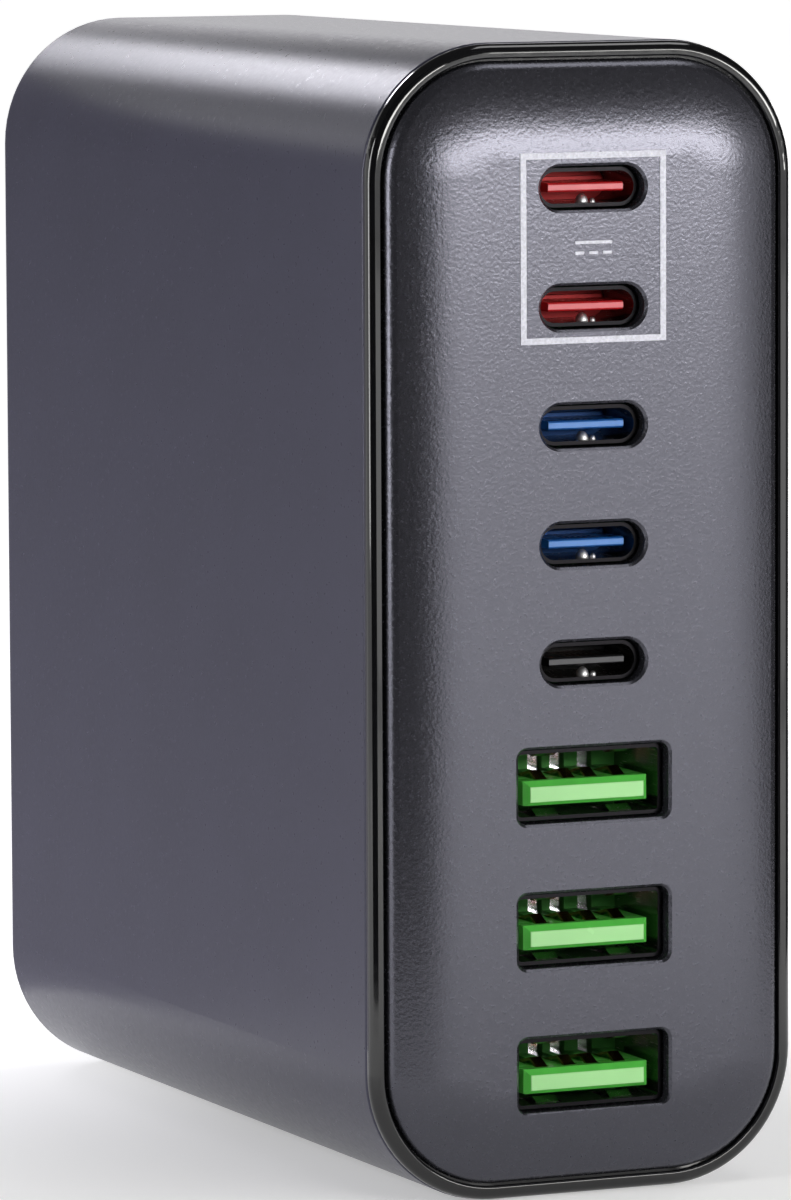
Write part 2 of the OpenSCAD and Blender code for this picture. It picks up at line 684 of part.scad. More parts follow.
// Ferrite shell of a wound part: two yokes, two outer legs and a round middle leg
module round_leg_core(size, leg, window, end) {
    difference() {
        translate([-size[0] / 2, -size[1] / 2, 0]) cube(size);
        translate([0, 0, end]) cylinder(h = size[2] - 2 * end, r = window);
        translate([-size[0], -window * 0.72, end]) cube([2 * size[0], window * 1.44, size[2] - 2 * end]);
    }
    translate([0, 0, end - eps]) cylinder(h = size[2] - 2 * end + 2 * eps, r = leg);
}

module transformer_core() color("darkslategray") on_board(transformer_y, transformer_z)
    translate([0, 0, core_lift]) round_leg_core(core, leg_r, window_r, yoke);

// Bobbin: a flanged tube on the middle leg, joined by arms to two pin rows that stand beside the core,
// and a foot under it
module transformer_bobbin() color("black") on_board(transformer_y, transformer_z) {
    span = core[2] - 2 * yoke;
    deck = core_lift + yoke + fit_gap;
    side = core[0] / 2 + fit_gap;
    row = pin_row - fit_gap;
    difference() {
        translate([0, 0, deck]) {
            cylinder(h = 1, r = window_r - 0.4);
            translate([0, 0, span - 1 - 2 * fit_gap]) cylinder(h = 1, r = window_r - 0.4);
            cylinder(h = span - 2 * fit_gap, r = leg_r + 1);
            translate([-side - row, -3, 0]) cube([2 * (side + row), 6, 1]);
        }
        cylinder(h = core_lift + core[2], r = leg_r + fit_gap);
    }
    for (turned = [0, 180]) rotate([0, 0, turned]) {
        translate([side, -8, 0]) cube([row, 16, deck + 1]);
        translate([side - 2, -8, 0]) cube([2 + eps, 16, core_lift]);
    }
}

module transformer_winding() color("khaki") on_board(transformer_y, transformer_z) {
    start = core_lift + yoke + 1 + 2 * fit_gap;
    span = core[2] - 2 * yoke - 2 - 4 * fit_gap;
    translate([0, 0, start]) linear_extrude(span) difference() {
        circle(window_r - 0.9);
        circle(leg_r + 1 + fit_gap);
    }
}

// Boost choke: a smaller core of the same kind, with its winding straight on the middle leg
module pfc_choke_core() color("darkslategray") on_board(transformer_y, pfc_z)
    round_leg_core(pfc_core, pfc_leg_r, pfc_window_r, pfc_yoke);

module pfc_choke_winding() color("peru") on_board(transformer_y, pfc_z)
    translate([0, 0, pfc_yoke + fit_gap])
    linear_extrude(pfc_core[2] - 2 * pfc_yoke - 2 * fit_gap) difference() {
        circle(pfc_window_r - fit_gap);
        circle(pfc_leg_r + fit_gap);
    }

// Power switches: three flat packages on the rear of the main board, under the thermal pads
module power_switches() color("black") for (k = [0:2])
    translate([board_x - chip_t, switch_y + switch_step * k, mid_z - switch_w / 2])
        cube([chip_t, switch_w, switch_w]);

// Rectifier board, standing on the main board in front of the transformer
module rectifier_board() color("darkgreen")
    translate([board_face_x, rectifier_y, transformer_z - rectifier[2] / 2]) cube(rectifier);

module rectifier_chips() color("black") for (x = [4, 12], z = [-8, 2])
    translate([board_face_x + x, rectifier_y + rectifier[1], transformer_z + z]) cube([5, chip_t, 6]);

// Output capacitors: a row of four cans with grooved necks
module output_capacitors() color("silver") for (k = [0:3]) on_board(output_y, board_z + 8 + k * 10)
    difference() {
        cylinder(h = 11.5, d = output_d);
        translate([0, 0, 1.6]) rotate_extrude() translate([output_d / 2 + 0.2, 0]) circle(0.6);
    }

// Buck inductors: moulded blocks on the rear face of the port board, beside the output capacitors
module buck_inductors() color("gray") for (k = [0:3])
    translate([port_board_w / 2 - part_gap - inductor[0], board_y, board_z + 3.5 + k * 11.5 * upright])
        cube(inductor);

module buck_controllers() color("black") for (k = [0:1]) translate([-1.5, board_y, usb_c_z(2 - k) - 7.5])
    cube([5, chip_t - fit_gap, 5]);

// Class Y capacitor: a coated disc on two leads
module y_capacitor() color("steelblue") on_board(transformer_y - 2, board_z + 11) {
    translate([0, 2, 7]) rotate([90, 0, 0]) cylinder(h = 4, d = 9);
    for (x = [-1, 1]) translate([x * 2.5 - 0.4, -0.4, 0]) cube([0.8, 0.8, 4]);
}

spreader_h = cavity_h - 2 * cavity_r - 2;

// Heat spreaders: aluminium plates flat against the side walls
module heat_spreader(x) color("lightgray")
    translate([x, board_y + 2, mid_z - spreader_h / 2]) cube([spreader_t, board_len - 4, spreader_h]);

module insulation_sheet() color("ivory")
    translate([-cavity_w / 2 + spreader_t, board_y + 1, mid_z - spreader_h / 2 - 1])
        cube([sheet_t, board_len - 2, spreader_h + 2]);

// Thermal pads between the sheet and the power switches
module thermal_pads() color("lightsteelblue") {
    pad_x = -cavity_w / 2 + spreader_t + sheet_t;
    for (k = [0:2]) translate([pad_x, switch_y + switch_step * k, mid_z - switch_w / 2])
        cube([board_x - chip_t - pad_x, switch_w, switch_w]);
}

housing();
front_bezel();
front_panel();
port_frame_print();
for (i = [1:usb_c_count]) {
    usb_c_shell(i);
    usb_c_insulator(i);
    usb_c_contacts(i);
}
for (i = [1:usb_a_count]) {
    usb_a_shell(i);
    usb_a_insulator(i);
    usb_a_contacts(i);
}
port_board();
main_board();
inlet_body();
inlet_pins();
fuse();
x_capacitor();
choke_core();
choke_windings();
bridge_rectifier();
bulk_capacitor(upper_z);  // bulk_capacitor_upper
bulk_capacitor(lower_z);  // bulk_capacitor_lower
transformer_core();
transformer_bobbin();
transformer_winding();
pfc_choke_core();
pfc_choke_winding();
power_switches();
rectifier_board();
rectifier_chips();
output_capacitors();
buck_inductors();
buck_controllers();
y_capacitor();
heat_spreader(-cavity_w / 2);  // heat_spreader_left
heat_spreader(cavity_w / 2 - spreader_t);  // heat_spreader_right
insulation_sheet();
thermal_pads();
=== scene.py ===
import math

import bmesh
import bpy
import numpy as np
from mathutils import Matrix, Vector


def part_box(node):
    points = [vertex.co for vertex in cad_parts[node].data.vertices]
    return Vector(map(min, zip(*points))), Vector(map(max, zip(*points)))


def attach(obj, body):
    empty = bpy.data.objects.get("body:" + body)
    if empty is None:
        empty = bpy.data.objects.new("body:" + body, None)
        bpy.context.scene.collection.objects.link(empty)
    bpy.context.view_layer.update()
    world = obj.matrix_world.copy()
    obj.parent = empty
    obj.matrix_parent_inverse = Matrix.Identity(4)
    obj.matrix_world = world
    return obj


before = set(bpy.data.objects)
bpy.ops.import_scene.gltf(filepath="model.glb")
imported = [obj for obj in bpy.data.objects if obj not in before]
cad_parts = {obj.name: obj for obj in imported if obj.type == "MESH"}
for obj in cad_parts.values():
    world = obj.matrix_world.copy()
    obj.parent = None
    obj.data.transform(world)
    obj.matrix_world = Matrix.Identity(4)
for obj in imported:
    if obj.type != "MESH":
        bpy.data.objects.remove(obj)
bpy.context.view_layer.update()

MM = 0.001
panel_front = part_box("front_panel")[0][1]
mouth_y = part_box("usb_c_shell_1")[0][1]
WAVES_PER_UNIT = 3.183  # bands of a wave texture at scale 1 in one unit of length


# ---------------------------------------------------------------- camera

def turn(axis, angle):
    """Rotation matrix about one axis (0, 1 or 2) by an angle in radians."""
    c, s = math.cos(angle), math.sin(angle)
    a, b = [(1, 2), (0, 2), (0, 1)][axis]
    m = np.eye(3)
    m[a, a] = m[b, b] = c
    m[a, b], m[b, a] = -s, s
    return m


def set_camera():
    """A long lens above the front left corner. The rows of `look` are right, forward and up in the
    part's frame: yaw first, then the tilt down, then a small roll. `panel_seen` is where the
    panel's middle lies from the camera, to the right, ahead and up, in mm."""
    yaw, tilt, roll = math.radians(24.04), math.radians(5.957), math.radians(-0.259)
    look = turn(1, -roll) @ turn(0, tilt) @ turn(2, yaw)
    panel_middle, panel_seen = np.array([0, -38.22, 47]), np.array([15.784, 678.3, -1.794])
    nearer = 0.94
    stand = -look.T @ panel_seen * nearer + panel_middle
    shot = bpy.data.cameras.new("shot")
    shot.sensor_fit = "AUTO"
    shot.sensor_width = 36
    shot.lens = 235.56
    shot.clip_start, shot.clip_end = 0.01, 40
    camera = bpy.data.objects.new("shot", shot)
    pose = np.eye(4)
    pose[:3, 0], pose[:3, 1], pose[:3, 2], pose[:3, 3] = look[0], look[2], -look[1], stand * MM
    camera.matrix_world = Matrix(pose.tolist())
    bpy.context.collection.objects.link(camera)
    bpy.context.scene.camera = camera


# ---------------------------------------------------------------- node helpers

def srgb(*levels):
    """Linear RGBA for a colour written in 0-255 levels."""
    part = np.array(levels[:3]) / 255
    lin = np.where(part <= 0.04045, part / 12.92, ((part + 0.055) / 1.055) ** 2.4)
    return (*[float(v) for v in lin], 1.0)


class Finish:
    """One material: a Principled shader and the nodes that give its grain, all on Object
    coordinates in metres."""

    def __init__(self, name, colour, rough, **settings):
        self.material = bpy.data.materials.new(name)
        self.material.use_nodes = True
        self.tree = self.material.node_tree
        self.shader = self.tree.nodes["Principled BSDF"]
        self.colour = srgb(*colour)
        self.shader.inputs["Base Color"].default_value = self.colour
        self.shader.inputs["Roughness"].default_value = rough
        for label, value in settings.items():
            self.shader.inputs[label.replace("_", " ")].default_value = value
        self.coords = self.node("ShaderNodeTexCoord").outputs["Object"]
        self.material.diffuse_color = self.colour

    def node(self, kind, **settings):
        made = self.tree.nodes.new(kind)
        for label, value in settings.items():
            if hasattr(made, label):
                setattr(made, label, value)
            else:
                made.inputs[label.replace("_", " ")].default_value = value
        return made

    def link(self, source, target):
        self.tree.links.new(source, target)

    def stretched(self, stretch):
        """Object coordinates, stretched along the axes where `stretch` is under 1."""
        mapping = self.node("ShaderNodeMapping")
        mapping.inputs["Scale"].default_value = stretch
        self.link(self.coords, mapping.inputs["Vector"])
        return mapping.outputs[0]

    def grain(self, size, detail=2.0, stretch=None, harsh=0.5):
        """Noise whose features are about `size` mm across."""
        noise = self.node("ShaderNodeTexNoise", Scale=1 / (size * MM), Detail=detail,
                          Roughness=harsh)
        self.link(self.stretched(stretch) if stretch else self.coords, noise.inputs["Vector"])
        return noise.outputs[0]

    def cells(self, size, feature="F1"):
        """Voronoi cells about `size` mm across, as the distance from their middles."""
        cell = self.node("ShaderNodeTexVoronoi", feature=feature, Scale=1 / (size * MM))
        self.link(self.coords, cell.inputs["Vector"])
        return cell.outputs["Distance"]

    def span(self, value, low, high, to_low, to_high):
        """Carries low..high of a value over to to_low..to_high, clamped."""
        ranged = self.node("ShaderNodeMapRange", From_Min=low, From_Max=high, To_Min=to_low,
                           To_Max=to_high)
        self.link(value, ranged.inputs["Value"])
        return ranged.outputs[0]

    def along(self, axis, low, high, to_low=0, to_high=1):
        """Carries a stretch of one axis, low..high in metres, over to to_low..to_high."""
        split = self.node("ShaderNodeSeparateXYZ")
        self.link(self.coords, split.inputs[0])
        return self.span(split.outputs[axis], low, high, to_low, to_high)

    def math(self, kind, one, two):
        made = self.node("ShaderNodeMath", operation=kind)
        for socket, value in zip(made.inputs, (one, two)):
            if isinstance(value, (int, float)):
                socket.default_value = value
            else:
                self.link(value, socket)
        return made.outputs[0]

    def blend(self, factor, under, over):
        """Mixes two colours, each a linear colour or a socket."""
        mix = self.node("ShaderNodeMix", data_type="RGBA")
        self.link(factor, mix.inputs[0])
        for socket, value in ((mix.inputs[6], under), (mix.inputs[7], over)):
            if isinstance(value, tuple):
                socket.default_value = value
            else:
                self.link(value, socket)
        return mix.outputs[2]

    def tint(self, factor, darker, lighter):
        """Base colour that wanders from the written colour times `darker` to it times `lighter`."""
        ends = [tuple(c * k for c in self.colour[:3]) + (1.0,) for k in (darker, lighter)]
        return self.paint(self.blend(factor, *ends))

    def paint(self, colour):
        self.link(colour, self.shader.inputs["Base Color"])
        return colour

    def polish(self, factor, low, high):
        """Roughness that wanders from low to high."""
        self.link(self.span(factor, 0.3, 0.7, low, high), self.shader.inputs["Roughness"])

    def relief(self, *layers):
        """Bump layers, each (height socket, depth in mm), one on the other."""
        normal = None
        for height, depth in layers:
            bump = self.node("ShaderNodeBump", Distance=depth * MM, Strength=1.0)
            self.link(height, bump.inputs["Height"])
            if normal:
                self.link(normal, bump.inputs["Normal"])
            normal = bump.outputs[0]
        self.link(normal, self.shader.inputs["Normal"])


# ---------------------------------------------------------------- finishes of the case

def housing_grey():
    """Satin moulded plastic: an even spark-eroded grain, and slow changes of tone on the walls."""
    f = Finish("housing_grey", (58, 58, 74), 0.3, Specular_Tint=(0.84, 0.82, 1, 1))
    fine, slow = f.grain(0.16, 3.0), f.grain(9.0, 2.0)
    mixed = f.math("ADD", f.math("MULTIPLY", fine, 0.55), f.math("MULTIPLY", slow, 0.45))
    f.tint(f.span(mixed, 0.34, 0.66, 0, 1), 0.9, 1.1)
    f.polish(f.grain(0.5, 3.0), 0.27, 0.33)
    f.relief((f.grain(0.22, 2.0), 0.004))
    return f.material


def panel_grey():
    """Sand-blasted moulding of the front: a coarser grain than the housing's, and a faint
    metallic glint."""
    f = Finish("panel_grey", (81, 81, 89), 0.26, Metallic=0.75, Specular_Tint=(0.98, 0.98, 1, 1))
    sand, fine = f.grain(0.28, 2.0), f.grain(0.1, 2.0)
    both = f.math("ADD", f.math("MULTIPLY", sand, 0.6), f.math("MULTIPLY", fine, 0.4))
    f.tint(f.span(both, 0.36, 0.64, 0, 1), 0.94, 1.06)
    f.polish(sand, 0.23, 0.28)
    f.relief((sand, 0.02), (fine, 0.003))
    return f.material


def bezel_black():
    """Polished black ring: a clear hard surface with faint hairlines."""
    f = Finish("bezel_black", (15, 15, 17), 0.08, Coat_Weight=0.3, Coat_Roughness=0.03)
    f.tint(f.grain(4.0), 0.8, 1.25)
    f.polish(f.grain(1.5, 3.0), 0.06, 0.11)
    f.relief((f.grain(0.9, 3.0), 0.0015))
    return f.material


def print_pale():
    """Pad-printed ink: nearly even, a little thinner over the sand grain."""
    f = Finish("print_pale", (240, 241, 254), 0.5)
    f.tint(f.span(f.grain(0.22, 3.0), 0.35, 0.65, 0, 1), 0.84, 1.06)
    f.polish(f.grain(0.4), 0.44, 0.56)
    f.relief((f.grain(0.2, 2.0), 0.004))
    return f.material


# ---------------------------------------------------------------- finishes of the sockets

def shell_steel():
    """Rolled and folded steel sheet: fine rolling lines along the socket, and painted shade on
    its edge at the mouth, a dark band that stands in for shade."""
    f = Finish("shell_steel", (168, 166, 162), 0.2, Metallic=1.0)
    rolled = f.grain(0.08, 3.0, stretch=(1, 0.05, 1))
    sheet = f.tint(f.span(rolled, 0.3, 0.7, 0, 1), 0.88, 1.06)
    past_painted_shade = f.along("Y", mouth_y + 0.02 * MM, mouth_y + 0.06 * MM)
    # Painted shade: the edge at the mouth is painted near black, not the steel's own colour.
    f.paint(f.blend(past_painted_shade, srgb(32, 31, 33), sheet))
    f.polish(rolled, 0.15, 0.28)
    f.relief((rolled, 0.0015))
    return f.material


def insulator(name, colour, tip_highlight, flat, first, last, shade):
    """Glass-filled nylon: satin on the tongue and matt at the back wall, slightly translucent at
    thin edges, with faint flow lines. A painted highlight makes the flat end of the tongue palest,
    up to
    `flat` mm behind the mouth, and painted shade darkens it from `first` to `last` mm behind it,
    down to `shade` of its colour."""
    f = Finish(name, colour, 0.26, Subsurface_Weight=0.12, Subsurface_Radius=(0.6, 0.6, 0.6),
               Subsurface_Scale=0.5 * MM)
    flow = f.grain(1.6, 2.0, stretch=(1, 0.5, 1))
    body = f.tint(f.span(flow, 0.3, 0.7, 0, 1), 0.95, 1.04)
    shaded = tuple(shade * c for c in f.colour[:3]) + (1,)
    # Painted shade: the colour darkens with depth behind the mouth, down to `shade` of it.
    with_painted_shade = f.blend(f.along("Y", mouth_y + first * MM, mouth_y + last * MM), body, shaded)
    past_flat = f.along("Y", mouth_y + flat * MM, mouth_y + (flat + 0.03) * MM)
    # Painted highlight: the flat end of the tongue is painted paler than the body.
    f.paint(f.blend(past_flat, srgb(*tip_highlight), with_painted_shade))
    matt = f.along("Y", mouth_y + 2 * MM, mouth_y + 5 * MM, 0.2, 0.6)
    f.link(f.math("ADD", matt, f.math("MULTIPLY", flow, 0.1)), f.shader.inputs["Roughness"])
    f.relief((f.grain(0.12, 2.0), 0.002))
    return f.material


def small_insulator(name, colour, tip_highlight):
    """The insulator of a small oval socket."""
    return insulator(name, colour, tip_highlight, flat=0.28, first=3.5, last=5.5, shade=0.75)


def wide_insulator(name, colour, tip_highlight):
    """The insulator of a wide rectangular socket."""
    return insulator(name, colour, tip_highlight, flat=0.18, first=4.5, last=7.5, shade=0.42)


def contact_gold():
    """Spring strip with fine drawing lines: copper-gold plating where a plug touches, and bright
    tin further back."""
    f = Finish("contact_gold", (186, 122, 84), 0.2, Metallic=1.0)
    drawn = f.grain(0.06, 2.0, stretch=(1, 0.06, 1))
    plated = f.tint(f.span(drawn, 0.3, 0.7, 0, 1), 0.84, 1.08)
    tin = f.blend(drawn, srgb(214, 215, 218), srgb(236, 237, 240))
    f.paint(f.blend(f.along("Y", mouth_y + 5.6 * MM, mouth_y + 6.4 * MM), plated, tin))
    f.polish(drawn, 0.12, 0.26)
    f.relief((drawn, 0.001))
    return f.material


# ---------------------------------------------------------------- finishes of the inner parts

def board_green():
    """Solder mask over copper: the traces show as paler lanes between cells, under a varnish."""
    f = Finish("board_green", (18, 84, 48), 0.32, Coat_Weight=0.5, Coat_Roughness=0.15)
    lanes = f.span(f.cells(3.2, "DISTANCE_TO_EDGE"), 0.04, 0.07, 1, 0)
    mask = f.blend(f.span(f.grain(0.8, 3.0), 0.3, 0.7, 0, 1), srgb(14, 74, 40), srgb(24, 94, 55))
    f.paint(f.blend(lanes, mask, srgb(46, 122, 66)))
    f.polish(f.grain(0.6, 2.0), 0.26, 0.4)
    f.relief((lanes, 0.03), (f.grain(0.15), 0.004))
    return f.material


def moulded(name, colour, rough, grain=0.2, depth=0.008, **settings):
    """Moulded or pressed part with an even grain."""
    f = Finish(name, colour, rough, **settings)
    fine = f.grain(grain, 3.0)
    f.tint(f.span(fine, 0.32, 0.68, 0, 1), 0.84, 1.14)
    f.polish(f.grain(grain * 3, 2.0), rough - 0.06, rough + 0.06)
    f.relief((fine, depth))
    return f.material


def metal(name, colour, rough, stretch, size=0.1):
    """Bare or plated metal, brushed or drawn along the axis that `stretch` makes long."""
    f = Finish(name, colour, rough, Metallic=1.0)
    drawn = f.grain(size, 3.0, stretch=stretch)
    f.tint(f.span(drawn, 0.3, 0.7, 0, 1), 0.86, 1.06)
    f.polish(drawn, rough - 0.07, rough + 0.08)
    f.relief((drawn, 0.002))
    return f.material


def wound(name, colour, rough, pitch, axis, **settings):
    """Layered windings: round turns `pitch` mm apart along one axis, under varnish."""
    f = Finish(name, colour, rough, Coat_Weight=0.6, Coat_Roughness=0.1, **settings)
    wave = f.node("ShaderNodeTexWave", bands_direction=axis, wave_profile="SIN",
                  Scale=1 / (pitch * MM) / WAVES_PER_UNIT, Distortion=0.4, Detail=1.0)
    f.link(f.coords, wave.inputs["Vector"])
    f.tint(f.span(wave.outputs[1], 0.1, 0.9, 0, 1), 0.4, 1.1)
    f.polish(f.grain(1.2), rough - 0.06, rough + 0.06)
    f.relief((wave.outputs[1], 0.12))
    return f.material


def ferrite():
    """Sintered ferrite: matt dark grey with paler specks."""
    f = Finish("ferrite", (46, 46, 49), 0.55)
    specks = f.span(f.cells(0.45), 0.1, 0.22, 1, 0)
    ground = f.blend(f.grain(2.5, 3.0), srgb(40, 40, 43), srgb(53, 53, 56))
    f.paint(f.blend(specks, ground, srgb(92, 92, 95)))
    f.polish(f.grain(0.7), 0.48, 0.62)
    f.relief((f.grain(0.25, 3.0), 0.02))
    return f.material


def can_blue():
    """Shrink sleeve over a can: deep blue film with the grey polarity stripe along one side."""
    f = Finish("can_blue", (22, 34, 74), 0.26, Coat_Weight=0.5, Coat_Roughness=0.08)
    stripe = f.along("X", 14.4 * MM, 14.7 * MM)
    film = f.blend(f.grain(3.0, 2.0), srgb(19, 30, 66), srgb(26, 40, 84))
    f.paint(f.blend(stripe, film, srgb(150, 156, 168)))
    f.polish(f.grain(1.0), 0.2, 0.32)
    f.relief((f.grain(1.4, 2.0), 0.02))
    return f.material


def film_yellow():
    """Boxed film capacitor: glossy yellow case over epoxy."""
    return moulded("film_yellow", (214, 170, 48), 0.36, 0.4, 0.01, Coat_Weight=0.3,
                   Coat_Roughness=0.15)


def tape_yellow():
    """Polyester tape round the winding: overlapping layers with glossy edges."""
    return wound("tape_yellow", (226, 196, 84), 0.3, 3.2, "X")


FINISHES = {
    "housing_grey": housing_grey,
    "bezel_black": bezel_black,
    "panel_grey": panel_grey,
    "print_pale": print_pale,
    "shell_steel": shell_steel,
    "spring_tin": lambda: metal("spring_tin", (238, 238, 240), 0.46, (1, 1, 1)),
    # The third colour of each insulator is a painted highlight on its tongue's flat end.
    "insulator_red": lambda: small_insulator("insulator_red", (214, 32, 38), (240, 112, 120)),
    "insulator_blue": lambda: small_insulator("insulator_blue", (32, 98, 180), (98, 154, 230)),
    "insulator_black": lambda: small_insulator("insulator_black", (20, 20, 22), (76, 76, 80)),
    "insulator_green": lambda: wide_insulator("insulator_green", (98, 216, 86), (186, 254, 172)),
    "contact_gold": contact_gold,
    "board_green": board_green,
    "inlet_black": lambda: moulded("inlet_black", (24, 24, 26), 0.42),
    "pin_nickel": lambda: metal("pin_nickel", (206, 202, 190), 0.22, (1, 0.06, 1)),
    "fuse_brown": lambda: moulded("fuse_brown", (96, 56, 34), 0.4, 0.5, 0.01),
    "film_yellow": film_yellow,
    "ferrite": ferrite,
    "copper_wire": lambda: wound("copper_wire", (178, 96, 52), 0.3, 0.8, "X", Metallic=0.6),
    "chip_black": lambda: moulded("chip_black", (30, 30, 32), 0.5, 0.12, 0.01),
    "can_blue": can_blue,
    "can_silver": lambda: metal("can_silver", (200, 202, 206), 0.28, (0.1, 1, 1), 0.2),
    "tape_yellow": tape_yellow,
    "inductor_grey": lambda: moulded("inductor_grey", (74, 76, 80), 0.58, 0.3, 0.02),
    "disc_blue": lambda: moulded("disc_blue", (44, 96, 168), 0.34, 0.8, 0.03, Coat_Weight=0.4),
    "spreader_aluminium": lambda: metal("spreader_aluminium", (204, 206, 208), 0.34, (1, 0.04, 1),
                                        0.25),
    "sheet_ivory": lambda: moulded("sheet_ivory", (226, 220, 200), 0.46, 0.9, 0.01),
    "pad_grey": lambda: moulded("pad_grey", (150, 156, 166), 0.7, 0.35, 0.03),
}


def dress_nodes():
    """Makes every finish, and gives each CAD node the one that its material slot names."""
    made = {name: make() for name, make in FINISHES.items()}
    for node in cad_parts.values():
        finish = made[node.material_slots[0].name.split(".")[0]]
        for place in node.material_slots:
            place.material = finish
    return made


# ---------------------------------------------------------------- new pieces

def new_mesh(name, points, faces):
    """A piece at the origin, from points in metres and the faces that join them."""
    mesh = bpy.data.meshes.new(name)
    mesh.from_pydata(np.asarray(points, float).reshape(-1, 3).tolist(), [], faces)
    mesh.validate()
    piece = bpy.data.objects.new(name, mesh)
    bpy.context.collection.objects.link(piece)
    return piece


def ring_faces(rows, count, first=0):
    """Quads between neighbouring closed rings of `count` points, wound so that rings growing
    outwards face up."""
    k = np.arange(count)
    n = (k + 1) % count
    inner = first + count * np.arange(rows - 1)[:, None]
    outer = inner + count
    return np.stack([inner + k, outer + k, outer + n, inner + n], -1).reshape(-1, 4).tolist()


def close_seams(piece):
    """Merges doubled points and turns the faces outwards."""
    tidy = bmesh.new()
    tidy.from_mesh(piece.data)
    bmesh.ops.remove_doubles(tidy, verts=tidy.verts, dist=1e-7)
    bmesh.ops.recalc_face_normals(tidy, faces=tidy.faces)
    tidy.to_mesh(piece.data)
    tidy.free()


def smooth(piece):
    """Shades the faces smoothly."""
    for face in piece.data.polygons:
        face.use_smooth = True


def sign_bars(ink):
    """Generic direct-current sign between the two upper sockets: a long bar over three short ones.
    Each bar is a flat pad: an outline of four corner arcs, offset from the bar's middle by its
    half sizes less the corner radius, carried through four rings from the middle of its back over
    both edges to the middle of its front."""
    middle_z, thick, sunk, corner, count = 77.5, 0.04, 0.01, 0.1, 48
    bars = [(0, 0.42, 3.3, 0.24)] + [(x, -0.42, 0.82, 0.24) for x in (-1.24, 0, 1.24)]
    t = (np.arange(count) + 0.5) * 2 * math.pi / count
    points, faces = [], []
    for x, z, wide, high in bars:
        rise = np.sign(np.sin(t)) * (high / 2 - corner) + corner * np.sin(t)
        out = np.stack([x + np.sign(np.cos(t)) * (wide / 2 - corner) + corner * np.cos(t),
                        z + middle_z + rise], 1)
        pole = np.repeat([[x, z + middle_z]], count, 0)
        rings = [(pole, sunk), (out, sunk), (out, -thick), (pole, -thick)]
        faces += ring_faces(len(rings), count, len(points) * count)
        for flat, depth in rings:
            points.append(np.stack([flat[:, 0] * MM, np.full(count, panel_front + depth * MM),
                                    flat[:, 1] * MM], 1))
    sign = new_mesh("sign_bars", np.concatenate(points), faces)
    close_seams(sign)
    sign.data.materials.append(ink)
    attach(sign, "root")


def shell_bumps(tin):
    """Spring bumps pressed into the floor of each small shell, a large one in the middle and a
    small one beside it. Each is half an ellipsoid: rings at angle a from the top, half width
    w sin a, height h cos a. `bumps` holds each one's shift to the right, distance behind the
    mouth, half width and height, in mm."""
    bumps = (-0.05, 0.95, 0.54, 0.74), (0.92, 1.0, 0.26, 0.36)
    sheet, count, rows = 0.28, 32, 10
    around = np.arange(count) * 2 * math.pi / count
    from_top = np.linspace(0, math.pi / 2, rows)
    points, faces = [], []
    for number in range(1, 6):
        low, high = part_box(f"usb_c_shell_{number}")
        foot = [(low[0] + high[0]) / 2, low[1], low[2] + sheet * MM]
        for shift, back, wide, tall in bumps:
            first = len(points) * count
            last = first + (rows - 1) * count
            for a in from_top:
                ring = [foot[0] + (shift + wide * math.sin(a) * np.cos(around)) * MM,
                        foot[1] + (back + wide * math.sin(a) * np.sin(around)) * MM,
                        np.full(count, foot[2] + tall * math.cos(a) * MM)]
                points.append(np.stack(ring, 1))
            faces += ring_faces(rows, count, first)
            faces.append(list(range(last + count - 1, last - 1, -1)))
    pressed = new_mesh("shell_bumps", np.concatenate(points), faces)
    close_seams(pressed)
    smooth(pressed)
    pressed.data.materials.append(tin)
    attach(pressed, "root")


def studio_floor(seen):
    """The floor and its sweep, one surface of revolution: flat out to 6 m, then a quarter circle of
    1 m up to a short wall. Radius and height along the profile are carried round the circle."""
    count = 96
    arc = np.linspace(0, math.pi / 2, 12)
    radius = np.concatenate([np.array([0.02, 0.1, 0.3, 1, 3]), 6 + np.sin(arc), [7]])
    height = np.concatenate([np.zeros(5), 1 - np.cos(arc), [1.6]])
    angle = np.linspace(0, 2 * math.pi, count, endpoint=False)
    points = np.stack([radius[:, None] * np.cos(angle), radius[:, None] * np.sin(angle),
                       np.repeat(height[:, None], count, 1)], -1)
    faces = ring_faces(len(radius), count)
    faces.append(list(range(count)))
    floor = new_mesh("floor", points, faces)
    smooth(floor)
    floor.data.materials.append(seen)


